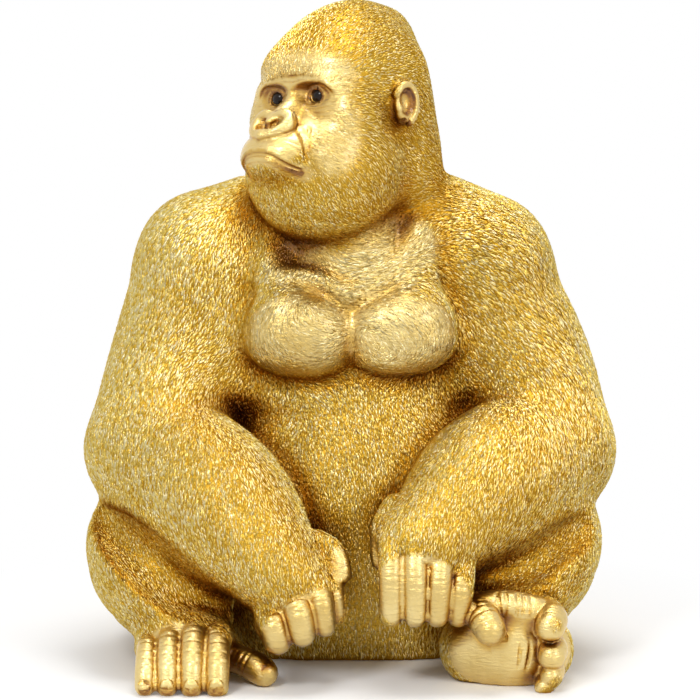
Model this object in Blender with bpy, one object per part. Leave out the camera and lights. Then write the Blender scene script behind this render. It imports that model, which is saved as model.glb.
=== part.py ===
"""A seated gorilla figurine: one resin casting, gold all over, with two dark eyes set in its face.

The body is modelled as a sculptor builds one up: rounded lumps and tapering limbs of clay are pressed
together, each melted into the rest over a fillet of its own, and hollows and creases are then carved.
Sizes are in millimetres and become metres in the mesh. +X is the viewer's right, -Y the viewer, +Z up,
and the origin is on the surface it sits on, under the middle of the figure. Left and right are the
viewer's, as seen from the front.
"""

import math

import bpy
import numpy as np
from mathutils import Matrix, Vector

FIGURE_HEIGHT = 391.3  # millimetres; the sizes below are for a figure of the modelled height
MODELLED_HEIGHT = 391.3
MM = 0.001 * FIGURE_HEIGHT / MODELLED_HEIGHT

# The head, and the face in the head's own frame: X to its left cheek, -Y forward, Z up
HEAD_CENTRE = (-4, -6, 320)
HEAD_TURN = -40  # degrees: it looks to the viewer's left
HEAD_ROLL = -4
EYE_DIAMETER = 11
EYE_CLEARANCE = 0.3
EYE_SPACING = 31
EYE_FORWARD = 37
EYE_HEIGHT = 14
EAR_WALL = 2.4
LIP_RADIUS = 1.8
MOUTH_LINE = 1.4

# Thicknesses of the limbs, as radii
UPPER_ARM = 41
ELBOW = 43
WRIST = 30
SHOULDER = 44
KNEE = 50
FINGER = 7.0
TOE = 7.0
BIG_TOE = 9.0

# Toes flat on the ground: place, top and size. Toes of the turned foot: place, height and size
FLAT_TOES = ((-116, 28.5, 0.88), (-103.4, 33, 0.95), (-89.6, 36, 1.03), (-75.4, 35, 1.03))
TURNED_TOES = ((115, 39.5, 1.3), (116, 22, 1.2), (116, 9.8, 0.98), (112, 3, 0.85))

# Fingers: x, front y, top z, bottom z, lean in x, size
LEFT_FINGERS = (
    (-43, -127, 48, 19.5, 3.5, 1.16),
    (-28.6, -130, 56, 25, 3, 1.12),
    (-16, -125, 63, 30, 2.5, 0.98),
    (-9, -115, 67, 35, 2.5, 0.88),
)
RIGHT_FINGERS = (
    (23.4, -128, 83, 37, 0, 1.02),
    (36.8, -130, 82, 37, 0.3, 0.97),
    (50.3, -128, 79, 36.5, -1.2, 1.0),
    (62.8, -124, 72, 35.5, -2, 0.97),
)

# How finely the clay is read, and what it is thinned to
GRID_STEP = 1.8
BODY_TRIANGLES = 10600
OUTSIDE = 60  # distance given to grid points that no lump reaches
FLOOR_CUT = 60  # depth of clay cut away under the figure

GOLD = (0.83, 0.61, 0.22)
EYE_BLACK = (0.012, 0.008, 0.007)


class Clay:
    """Lumps added and hollows cut, in order. Each step is read only where it can change the form."""

    def __init__(self):
        self.steps = []

    def add(self, sign, measure, low, high, fillet, place):
        """Keeps one step, with its reach as a box in the figure's frame."""
        corners = [
            place @ Vector((x, y, z))
            for x in (low[0], high[0])
            for y in (low[1], high[1])
            for z in (low[2], high[2])
        ]
        reach = fillet + 2 * GRID_STEP
        box_low = np.min(corners, axis=0) - reach
        box_high = np.max(corners, axis=0) + reach
        self.steps.append((sign, measure, box_low, box_high, fillet, np.array(place.inverted())))

    def lump(self, centre, radii, fillet=6, turn=(0, 0, 0), place=Matrix(), sign=1, boxy=2):
        """An ellipsoid, squarer the more boxy is above 2, turned in degrees about X, then Y, then Z."""
        turned = Matrix.Translation(centre)
        for angle, axis in zip(reversed(turn), "ZYX"):
            turned = turned @ Matrix.Rotation(math.radians(angle), 4, axis)
        r = np.array(radii, float)

        def measure(p):
            ratio = [np.abs(p[i]) / r[i] for i in range(3)]
            near = sum(v**boxy for v in ratio) ** (1 / boxy)
            rise = np.sqrt(sum((v ** (boxy - 1) / r[i]) ** 2 for i, v in enumerate(ratio)))
            return near ** (boxy - 1) * (near - 1) / np.maximum(rise, 1e-6)

        self.add(sign, measure, -r, r, fillet, place @ turned)

    def hollow(self, centre, radii, fillet=3, turn=(0, 0, 0), place=Matrix()):
        self.lump(centre, radii, fillet, turn, place, sign=-1)

    def limb(self, points, radii, fillet=6, place=Matrix(), sign=1):
        """A round limb curving through the points, its radius running from one to the next."""
        knots = np.array([[*p, r] for p, r in zip(points, radii)], float)
        line = smoothed(knots) if len(knots) > 2 else knots

        def measure(p):
            gaps = []
            for start, end in zip(line[:-1], line[1:]):
                along = end[:3] - start[:3]
                length = max(float(along @ along), 1e-9)
                t = sum((p[i] - start[i]) * along[i] for i in range(3)) / length
                t = np.clip(t, 0, 1)
                away = np.sqrt(sum((p[i] - start[i] - t * along[i]) ** 2 for i in range(3)))
                gaps.append(away - start[3] - t * (end[3] - start[3]))
            return np.minimum.reduce(gaps)

        low = (line[:, :3] - line[:, 3:]).min(axis=0)
        high = (line[:, :3] + line[:, 3:]).max(axis=0)
        self.add(sign, measure, low, high, fillet, place)

    def groove(self, points, radii, fillet=1, place=Matrix()):
        self.limb(points, radii, fillet, place, sign=-1)

    def read(self, axes):
        """Distance to the surface on the grid of these three axes, negative inside."""
        field = np.full([len(a) for a in axes], OUTSIDE, np.float32)
        for sign, measure, low, high, fillet, to_local in self.steps:
            part = tuple(
                slice(int(np.searchsorted(a, lo)), int(np.searchsorted(a, hi)))
                for a, lo, hi in zip(axes, low, high)
            )
            x, y, z = np.meshgrid(*[a[s] for a, s in zip(axes, part)], indexing="ij", sparse=True)
            local = [m[0] * x + m[1] * y + m[2] * z + m[3] for m in to_local[:3]]
            field[part] = melted(field[part], measure(local), fillet, sign)
        return field


def melted(before, gap, fillet, sign):
    """The form after one step: the smaller distance when adding, the larger when cutting, eased."""
    if sign < 0:
        return -melted(-before, gap, fillet, 1)
    mix = np.clip(0.5 + 0.5 * (before - gap) / fillet, 0, 1)
    return before + (gap - before) * mix - fillet * mix * (1 - mix)


def smoothed(knots, pieces=4):
    """A curve through every knot, with this many straight pieces between two of them."""
    ends = np.vstack([2 * knots[0] - knots[1], knots, 2 * knots[-1] - knots[-2]])
    line = []
    for a, b, c, d in zip(ends[:-3], ends[1:-2], ends[2:-1], ends[3:]):
        for t in np.arange(pieces) / pieces:
            start = 2 * b + (c - a) * t + (2 * a - 5 * b + 4 * c - d) * t**2
            line.append(0.5 * start + 0.5 * (3 * b - a - 3 * c + d) * t**3)
    return np.array([*line, knots[-1]])


def mirrored(points, side):
    """The points on one side of the face: 1 for its left cheek, -1 for its right."""
    return [(x * side, y, z) for x, y, z in points]


def torso(clay):
    clay.lump((2, 40, 42), (104, 94, 76), 10, boxy=2.8)
    clay.lump((6, 14, 96), (86, 84, 90), 14)
    clay.lump((0, 30, 180), (84, 70, 80), 18)
    clay.lump((0, 4, 208), (72, 51, 46), 14)
    clay.lump((0, 60, 200), (86, 64, 80), 18)
    clay.lump((0, 72, 118), (94, 62, 88), 18)
    clay.lump((0, -8, 158), (60, 40, 19), 12)


def shoulders(clay):
    clay.lump((-54, 24, 248), (44, 42, 38), 14)
    clay.lump((50, 26, 248), (44, 42, 38), 14)
    clay.limb([(0, 34, 250), (-2, 14, 292)], [46, 44], 14)
    clay.lump((-86, 14, 233), (SHOULDER, 46, SHOULDER), 10)
    clay.lump((79, 14, 231), (SHOULDER, 46, SHOULDER), 10)


def chest(clay):
    """Two smooth pads, with straps that rise from where they meet to the shoulders."""
    clay.lump((5, -10, 238), (34, 33, 26), 12)
    clay.lump((-28.5, -34, 195), (33, 28, 26), 6, turn=(0, 8, 0), boxy=2.5)
    clay.lump((29.5, -34, 196), (33, 28, 26), 6, turn=(0, -8, 0), boxy=2.5)
    clay.limb([(-38, -38, 214), (-46, -30, 230), (-47, -18, 246)], [13, 9, 7], 12)
    clay.limb([(38, -38, 216), (42, -29, 236), (42, -16, 252)], [13, 11, 8], 12)
    clay.limb([(0, -46, 219), (-19, -43, 228), (-34, -38, 230), (-48, -32, 225)], [3.2, 4, 4, 4], 7)
    clay.limb([(0, -46, 219), (20, -40, 229), (33, -31, 240), (39, -20, 252)], [3.2, 4.4, 5, 5], 9)
    clay.groove([(1, -63, 220), (1, -62, 200), (1, -60, 180)], [1.4, 1.8, 1.8], 4)


def armpits(clay):
    """Flesh that bridges the chest and the upper arms."""
    for side in (-1, 1):
        clay.limb(mirrored([(66, -4, 224), (69, -9, 196), (71, -8, 166)], side), [22, 22, 20], 14)


def arms(clay):
    elbow = 117
    clay.limb([(-92, 14, 216), (-105, 6, 172), (-elbow, -14, 124)], [UPPER_ARM] * 3, 8)
    clay.limb([(84, 14, 216), (105, 6, 172), (elbow, -14, 124)], [UPPER_ARM] * 3, 8)
    clay.limb([(-elbow, -16, 122), (-77, -60, 97), (-48, -90, 72)], [ELBOW - 2, ELBOW, WRIST], 7)
    clay.limb([(elbow, -16, 122), (82, -60, 108), (52, -88, 88)], [ELBOW - 2, ELBOW, WRIST], 7)


def legs(clay):
    """Folded thighs and calves that lie open on the ground, running in to the feet."""
    clay.limb([(-60, 60, 50), (-107, -36, 68), (-99, -72, 34)], [56, KNEE, 28], 8)
    clay.limb([(60, 60, 50), (100, -34, 71), (90, -70, 32)], [56, KNEE, 26], 8)
    under_left = [(-150, -42, 90), (-137, -68, 84), (-120, -88, 73), (-105, -94, 62), (-90, -94, 51), (-74, -88, 40)]
    clay.groove(under_left, [6, 12, 16, 17, 16, 12], 6)
    under_right = [(139, -64, 85), (119, -86, 78), (106, -92, 70), (93, -94, 66), (82, -93, 63)]
    clay.groove(under_right, [8, 13, 14, 12, 8], 6)


def flat_foot(clay):
    """The left foot: flat on the ground, four toes turned down and the big one apart."""
    clay.lump((-95, -84, 18), (30, 28, 22), 5)
    for x, top, size in FLAT_TOES:
        r = TOE * size
        knuckle = top - r
        path = [(x, -90, knuckle - 2), (x, -106, knuckle), (x, -121, 0.6 * knuckle), (x, -127, 5)]
        clay.limb(path, [r, r, r, 0.95 * r], 1.6)
    clay.limb(
        [(-74, -84, 13), (-62, -96, 12), (-53, -103, 9.5), (-49, -107, 7.5)],
        [BIG_TOE, BIG_TOE - 0.6, BIG_TOE, BIG_TOE - 1],
        4,
    )


def turned_foot(clay):
    """The right foot: on its outer edge, its sole to the front and its toes curled over it."""
    clay.limb([(74, -88, 18), (92, -90, 19), (107, -92, 18)], [22, 26, 22], 6)
    clay.lump((90, -92, 31), (27, 22, 20), 6, boxy=2.6)
    clay.limb([(73, -104, 45), (88, -106, 47), (106, -106, 43)], [8.5, 9, 9.5], 4)
    clay.limb([(73, -102, 45), (76, -116, 41), (79.5, -121, 36)], [BIG_TOE, BIG_TOE + 0.5, BIG_TOE], 1)
    for x, z, size in TURNED_TOES:
        r = TOE * size
        path = [(x - 3, -98, z + 2), (x, -112, z + 1), (x - 1.5, -120, z - 3 * size + 2)]
        clay.limb(path, [r, r, 0.95 * r], 0.8)


def hand(clay, fingers, fillet):
    """Curled fingers side by side. Each row: x, front y, top z, bottom z, lean in x, size."""
    for x, front, top, bottom, lean, size in fingers:
        r = FINGER * size
        y, low = front + r, bottom + r
        path = [
            (x - lean, y + 13, top + 2),
            (x - 0.6 * lean, y + 5, top - 6),
            (x, y, 0.5 * (top + low)),
            (x + 0.5 * lean, y + 3, low + 1),
            (x + 0.5 * lean, y + 13, low),
        ]
        clay.limb(path, [r, r, r, 0.97 * r, 0.9 * r], fillet)


def left_hand(clay):
    clay.lump((-37, -98, 61), (28, 26, 25), 8, turn=(0, 30, 0))
    clay.lump((-33, -108, 42), (23, 12, 16), 6, turn=(0, -30, 0))
    clay.lump((-17, -99, 67), (8, 8, 11), 4)
    hand(clay, LEFT_FINGERS, 2.4)
    clay.limb([(-19, -92, 82), (-10, -97, 79), (-5, -102, 72), (-3.2, -104, 64)], [6, 5, 4.6, 4.6], 3)


def right_hand(clay):
    clay.lump((43, -98, 82), (29, 25, 22), 8, turn=(0, 12, 0))
    clay.lump((43, -107, 58), (25, 13, 18), 6)
    hand(clay, RIGHT_FINGERS, 1.4)
    clay.limb([(26, -88, 100), (18.5, -94, 92), (15.5, -98, 78), (16.5, -99, 70)], [8, 5.5, 4.4, 4], 2)


def skull(clay, place):
    clay.lump((0, 7, 20), (47, 50, 47), 10, place=place)
    clay.limb([(0, -12, 43), (0, 14, 52), (0, 36, 48)], [16, 17, 20], 14, place=place)
    clay.lump((0, -18, 30), (40, 26, 20), 10, place=place)
    clay.lump((0, 30, -22), (42, 32, 50), 16, place=place)
    clay.lump((0, -20, -29), (47, 46, 44), 12, place=place)
    clay.lump((0, -22, 4), (38, 22, 27), 8, place=place)
    for side in (-1, 1):
        clay.lump((29 * side, -28, 0), (15, 15, 20), 10, place=place)
    clay.lump((0, -51, -19), (28, 28, 18), 6, place=place)


def brows(clay, place):
    brow = [(-36, -28, 9), (-30, -36, 18.5), (-16, -41.5, 21.5), (0, -42, 20.5)]
    whole = brow + mirrored(brow[-2::-1], -1)
    clay.limb(whole, [3.2, 4.6, 5.2, 4.2, 5.2, 4.6, 3.2], 4, place=place)


def eye_place(side):
    """The middle of one eye in the head's frame."""
    return (side * EYE_SPACING / 2, -EYE_FORWARD, EYE_HEIGHT)


def nose(clay, place):
    clay.limb([(0, -37, 20), (0, -42, 12), (0, -57, 1)], [5, 5.5, 7], 5, place=place)
    clay.lump((0, -59, -3), (11, 12, 8), 3, place=place)
    for side in (-1, 1):
        top = [(1.5, -61.5, 3), (6.5, -60.5, 4.4), (10.8, -60.5, 1.5)]
        low = [(11, -64.5, -2.6), (6.5, -70, -5.6), (0, -73.5, -6.8)]
        clay.limb(mirrored(top + low, side), [3, 4, 4.6, 4.8, 4.3, 3.2], 1.4, place=place)
    for side in (-1, 1):
        clay.hollow((5.2 * side, -69.5, 0), (2.6, 5.5, 5), 1, turn=(-14, 34 * side, 0), place=place)


def mouth(clay, place):
    middle = [(0, -79, -17.4), (6, -78.5, -18), (10, -77.3, -19.3), (13.5, -75.2, -21.8)]
    line = middle + [(17.4, -70.4, -25.4), (20.5, -65, -28)]
    whole = mirrored(line[:0:-1], -1) + line
    upper = [(x, y + 0.9, z + 1.8) for x, y, z in whole]
    lower = [(x, y + 0.9, z - 2) for x, y, z in whole]
    clay.limb(upper, [LIP_RADIUS] * 11, 1.6, place=place)
    clay.limb(lower, [LIP_RADIUS] * 11, 1.6, place=place)
    taper = [0.3, 0.6, 0.9, 1, 1, 1, 1, 1, 0.9, 0.6, 0.3]
    clay.groove(whole, [MOUTH_LINE * t for t in taper], 0.8, place=place)


def cheek_fold(clay, place, side):
    fold = [(17, -59, 0), (19.5, -60, -6), (23.5, -62, -12), (25, -63.5, -22)]
    clay.groove(mirrored(fold, side), [0.8, 1.6, 1.8, 0.8], 3.5, place=place)


def ear(clay, place, side):
    clay.lump((45.5 * side, 1, 7), (5, 8.5, 12), 3, turn=(0, 0, 12 * side), place=place)
    clay.hollow((50.5 * side, -1, 8), (4, 5, 8), 1.5, place=place)
    rim = [(47, -6.5, 13), (48.5, -3, 17.5), (49.5, 3, 17.5), (50, 7, 11), (49.5, 7, 3), (48, 3, -4)]
    clay.limb(mirrored(rim, side), [EAR_WALL] * 6, 1, place=place)


def head(clay, place):
    skull(clay, place)
    brows(clay, place)
    for side in (-1, 1):
        x, y, z = eye_place(side)
        clay.hollow((x - side, y - 10, z + 2), (10, 8, 6), 5, place=place)
        clay.lump((x, y + 1.5, z - 0.5), (9, 5, 7), 4, place=place)
    nose(clay, place)
    mouth(clay, place)
    for side in (-1, 1):
        cheek_fold(clay, place, side)
        ear(clay, place, side)


def sculpt(place):
    """All the clay of the body."""
    clay = Clay()
    torso(clay)
    shoulders(clay)
    legs(clay)
    head(clay, place)
    chest(clay)
    armpits(clay)
    arms(clay)
    flat_foot(clay)
    turned_foot(clay)
    left_hand(clay)
    right_hand(clay)
    return clay


def fill_pinches(field):
    """Fills the grid cells in which two sheets of the surface would meet along an edge or at a point."""
    filled = -0.1
    flat = [(0, 0, 0), (1, 0, 0), (1, 1, 0), (0, 1, 0)]
    faces = [[tuple(np.roll(c, turn)) for c in flat] for turn in range(3)]
    opposite = [((0, 0, 0), (1, 1, 1)), ((1, 0, 0), (0, 1, 1)), ((0, 1, 0), (1, 0, 1)), ((0, 0, 1), (1, 1, 0))]
    while True:
        inside = field < 0
        pinched = np.zeros(np.array(field.shape) - 1, bool)

        def corner(offset):
            return inside[tuple(slice(o, n - 1 + o) for o, n in zip(offset, field.shape))]

        for a, b, c, d in faces:
            pinched |= (corner(a) == corner(c)) & (corner(b) == corner(d)) & (corner(a) != corner(b))
        count = sum(corner((i, j, k)).astype(np.int8) for i in (0, 1) for j in (0, 1) for k in (0, 1))
        for a, b in opposite:
            pinched |= (count == 2) & corner(a) & corner(b)
            pinched |= (count == 6) & ~corner(a) & ~corner(b)
        if not pinched.any():
            return
        for cell in np.argwhere(pinched):
            block = tuple(slice(i, i + 2) for i in cell)
            field[block] = np.minimum(field[block], filled)


def surface(field, axes):
    """Points and four-cornered faces of the surface where the field changes sign."""
    inside = field < 0
    shape = np.array(field.shape)
    corners = [(i, j, k) for i in (0, 1) for j in (0, 1) for k in (0, 1)]
    count = np.zeros(shape - 1, np.int8)
    for offset in corners:
        count += inside[tuple(slice(o, n - 1 + o) for o, n in zip(offset, shape))]
    cells = np.argwhere((count > 0) & (count < 8))
    values = np.stack([field[tuple((cells + c).T)] for c in corners], axis=1)
    total = np.zeros((len(cells), 3))
    crossings = np.zeros(len(cells))
    edges = [(a, b) for a in range(8) for b in range(a + 1, 8) if bin(a ^ b).count("1") == 1]
    for a, b in edges:
        cut = (values[:, a] < 0) != (values[:, b] < 0)
        t = values[:, a] / np.where(cut, values[:, a] - values[:, b], 1)
        at = np.array(corners[a]) + t[:, None] * (np.array(corners[b]) - corners[a])
        total += np.where(cut[:, None], at, 0)
        crossings += cut
    step = np.array([a[1] - a[0] for a in axes])
    points = np.array([a[0] for a in axes]) + (cells + total / crossings[:, None]) * step
    index = np.full(shape - 1, -1)
    index[tuple(cells.T)] = np.arange(len(cells))
    unit = np.eye(3, dtype=int)
    faces = []
    for axis in range(3):
        u, v = unit[(axis + 1) % 3], unit[(axis + 2) % 3]
        start = inside[tuple(slice(0, -1) if i == axis else slice(1, -1) for i in range(3))]
        end = inside[tuple(slice(1, None) if i == axis else slice(1, -1) for i in range(3))]
        for crossed, order in ((start & ~end, 1), (~start & end, -1)):
            at = np.argwhere(crossed) + (1 - unit[axis])
            ring = [at - u - v, at - v, at, at - u]
            faces.append(np.stack([index[tuple(c.T)] for c in ring], axis=1)[:, ::order])
    return points, np.vstack(faces)


def finish(name, color, metallic, roughness):
    material = bpy.data.materials.new(name)
    material.use_nodes = True
    shader = material.node_tree.nodes["Principled BSDF"]
    shader.inputs["Base Color"].default_value = (*color, 1)
    shader.inputs["Metallic"].default_value = metallic
    shader.inputs["Roughness"].default_value = roughness
    return material


def solid(name, points, faces, material=None):
    mesh = bpy.data.meshes.new(name)
    mesh.from_pydata((np.array(points) * MM).tolist(), [], [list(f) for f in faces])
    if material:
        mesh.materials.append(material)
    shape = bpy.data.objects.new(name, mesh)
    bpy.context.collection.objects.link(shape)
    return shape


def ball(name, centre, radius, material=None, around=16, rows=8):
    """A sphere of quads with a fan at either pole."""
    points = [(0, 0, -radius)]
    for row in range(1, rows):
        rise = math.pi * (row / rows - 0.5)
        for step in range(around):
            turn = math.tau * step / around
            flat = radius * math.cos(rise)
            points.append((flat * math.cos(turn), flat * math.sin(turn), radius * math.sin(rise)))
    points.append((0, 0, radius))
    top = len(points) - 1
    faces = []
    for step in range(around):
        after = (step + 1) % around
        faces.append((0, 1 + after, 1 + step))
        faces.append((top, top - around + step, top - around + after))
        for row in range(rows - 2):
            low, high = 1 + row * around, 1 + (row + 1) * around
            faces.append((low + step, low + after, high + after, high + step))
    return solid(name, np.array(points) + np.array(centre), faces, material)


def floor_block():
    """The block under the floor that gives the figure its flat underside."""
    reach = 300
    points = [(x, y, z) for x in (-reach, reach) for y in (-reach, reach) for z in (-FLOOR_CUT, 0)]
    faces = [(0, 1, 3, 2), (4, 6, 7, 5), (0, 4, 5, 1), (2, 3, 7, 6), (0, 2, 6, 4), (1, 5, 7, 3)]
    return solid("floor_cutter", points, faces)


def cut_from(body, cutter):
    cutter.hide_render = True
    cutter.display_type = "WIRE"
    cut = body.modifiers.new(cutter.name, "BOOLEAN")
    cut.operation = "DIFFERENCE"
    cut.solver = "EXACT"
    cut.object = cutter


def gorilla_body(place, eyes):
    clay = sculpt(place)
    low = np.min([s[2] for s in clay.steps if s[0] > 0], axis=0)
    high = np.max([s[3] for s in clay.steps if s[0] > 0], axis=0)
    axes = [np.arange(lo, hi + GRID_STEP, GRID_STEP) for lo, hi in zip(low, high)]
    field = clay.read(axes)
    fill_pinches(field)
    points, faces = surface(field, axes)
    body = solid("gorilla_body", points, faces, finish("gold_lacquer", GOLD, 0.9, 0.35))
    thin = body.modifiers.new("thin", "DECIMATE")
    thin.ratio = BODY_TRIANGLES / (2 * len(faces))
    cut_from(body, floor_block())
    for side, eye in eyes.items():
        cut_from(body, ball(f"socket_cutter_{side}", eye, EYE_DIAMETER / 2 + EYE_CLEARANCE))


def main():
    for old in list(bpy.data.objects):
        bpy.data.objects.remove(old)
    place = (
        Matrix.Translation(HEAD_CENTRE)
        @ Matrix.Rotation(math.radians(HEAD_TURN), 4, "Z")
        @ Matrix.Rotation(math.radians(HEAD_ROLL), 4, "Y")
    )
    eyes = {name: place @ Vector(eye_place(side)) for name, side in (("left", -1), ("right", 1))}
    gorilla_body(place, eyes)
    for name, centre in eyes.items():
        ball(f"{name}_eye", centre, EYE_DIAMETER / 2, finish(f"{name}_eye_gloss", EYE_BLACK, 0, 0.05))


main()
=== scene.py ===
"""The looks of a seated gorilla figurine in satin gold lacquer, with carved fur and dark glossy eyes.

The form is read from the same lumps, limbs and grooves as the part's source, with the lids, wrinkles,
nails and creases added. Its skin is finest on the bare face, hands and feet. The fur is carved strokes
laid over the skin along the lie of the coat. Form sizes are in millimetres: +X is the viewer's right,
-Y the viewer, +Z up. Left and right are the viewer's.
"""

import math

import bmesh
import bpy
import numpy as np
from mathutils import Matrix, Vector

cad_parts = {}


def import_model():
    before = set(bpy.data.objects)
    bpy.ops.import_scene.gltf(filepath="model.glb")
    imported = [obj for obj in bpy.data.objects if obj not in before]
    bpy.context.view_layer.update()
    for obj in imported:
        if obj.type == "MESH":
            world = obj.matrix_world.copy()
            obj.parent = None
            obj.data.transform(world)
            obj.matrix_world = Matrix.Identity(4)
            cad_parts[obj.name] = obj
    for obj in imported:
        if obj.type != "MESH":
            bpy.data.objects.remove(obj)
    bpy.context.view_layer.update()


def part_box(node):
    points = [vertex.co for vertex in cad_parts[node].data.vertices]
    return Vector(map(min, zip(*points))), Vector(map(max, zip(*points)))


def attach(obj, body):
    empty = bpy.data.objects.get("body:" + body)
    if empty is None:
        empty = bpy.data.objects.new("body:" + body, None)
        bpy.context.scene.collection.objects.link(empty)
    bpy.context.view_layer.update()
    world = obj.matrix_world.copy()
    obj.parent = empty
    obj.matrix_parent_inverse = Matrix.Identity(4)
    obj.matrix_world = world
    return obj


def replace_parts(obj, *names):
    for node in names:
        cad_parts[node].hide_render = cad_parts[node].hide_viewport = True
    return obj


FIGURE_HEIGHT = 391.3  # millimetres; the sizes below are for a figure of the modelled height
MODELLED_HEIGHT = 391.3
MM = 0.001 * FIGURE_HEIGHT / MODELLED_HEIGHT
SEED = 11

# Painted shade: for how deep a point lies in a recess or under a form, how much of the colour is left there
PAINTED_SHADE = ((0.14, (1, 1, 1)), (0.3, (0.84, 0.70, 0.36)), (0.5, (0.44, 0.24, 0.03)), (0.8, (0.18, 0.07, 0.004)))

# The head, and the face in the head's own frame: X to its left cheek, -Y forward, Z up
HEAD_CENTRE = (-4, -6, 320)
HEAD_TURN = -40  # degrees: it looks to the viewer's left
HEAD_ROLL = -4
EYE_DIAMETER = 11
EYE_SPACING = 31
EYE_FORWARD = 37
EYE_HEIGHT = 14
NOSE_MIDDLE = 2
EAR_WALL = 2.4
LIP_RADIUS = 1.8
MOUTH_LINE = 1.5

# Thicknesses of the limbs, as radii
UPPER_ARM = 41
ELBOW = 43
WRIST = 30
SHOULDER = 44
KNEE = 50
FINGER = 7.0
TOE = 7.0
BIG_TOE = 9.0

# Toes flat on the ground: place, top and size. Toes of the turned foot: place, height and size
FLAT_TOES = ((-116, 28.5, 0.88), (-103.4, 33, 0.95), (-89.6, 36, 1.03), (-75.4, 35, 1.03))
TURNED_TOES = ((115, 39.5, 1.3), (116, 22, 1.2), (116, 9.8, 0.98), (112, 3, 0.85))
FLAT_BIG_TOE = [(-74, -84, 13), (-62, -96, 12), (-53, -103, 9.5), (-49, -107, 7.5)]
TURNED_BIG_TOE = [(73, -102, 45), (76, -116, 41), (79.5, -121, 36)]

# Fingers: x, front y, top z, bottom z, lean in x, size
LEFT_FINGERS = (
    (-43, -127, 48, 19.5, 3.5, 1.16),
    (-28.6, -130, 56, 25, 3, 1.12),
    (-16, -125, 63, 30, 2.5, 0.98),
    (-9, -115, 67, 35, 2.5, 0.88),
)
RIGHT_FINGERS = (
    (23.4, -128, 83, 37, 0, 1.02),
    (36.8, -130, 82, 37, 0.3, 0.97),
    (50.3, -128, 79, 36.5, -1.2, 1.0),
    (62.8, -124, 72, 35.5, -2, 0.97),
)

# How finely the form is read
CELL_CORNERS = [(i, j, k) for i in (0, 1) for j in (0, 1) for k in (0, 1)]
GRID_STEP = 3.4
OUTSIDE = 60  # distance given to points that no lump reaches
BLOCK = 24
SLOPE_STEP = 0.15
RECESS_REACHES = (1, 2.5, 7, 16, 30)
UNDERSIDE_SHADE = 0.25  # painted shade: how much a face that looks down is darkened, as if it were recessed
FINE_CUTS = 2

# The fur: one carved stroke is a low ridge with a crest, sunk a little into the skin
STROKE_SPACING = 1.5
STROKE_LENGTH = 7.2
STROKE_WIDTH = 1.15
STROKE_HEIGHT = 0.62
STROKE_SINK = 0.2

# The long strands: proud on the throat and round the face, low on the smooth pads of the chest
STRAND_SPACING = 1.3
STRAND_LENGTH = 9
STRAND_WIDTH = 0.8
STRAND_SINK = 0.24
PAD_STRAND_HEIGHT = 0.13
THROAT_STRAND_HEIGHT = 0.42
THROAT_FLOOR = 222  # the height above which a strand is the throat's, and then the face's
FACE_STRAND_HEIGHT = 0.5
FACE_FLOOR = 280

# How wide the soft edges of the bare and the combed skin are, and how little coat still gets a stroke
BARE_EDGE = 2.4
COMBED_EDGE = 7
LEAST_WEIGHT = 0.35
LACQUER_ROUGHNESS = 0.36


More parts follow.
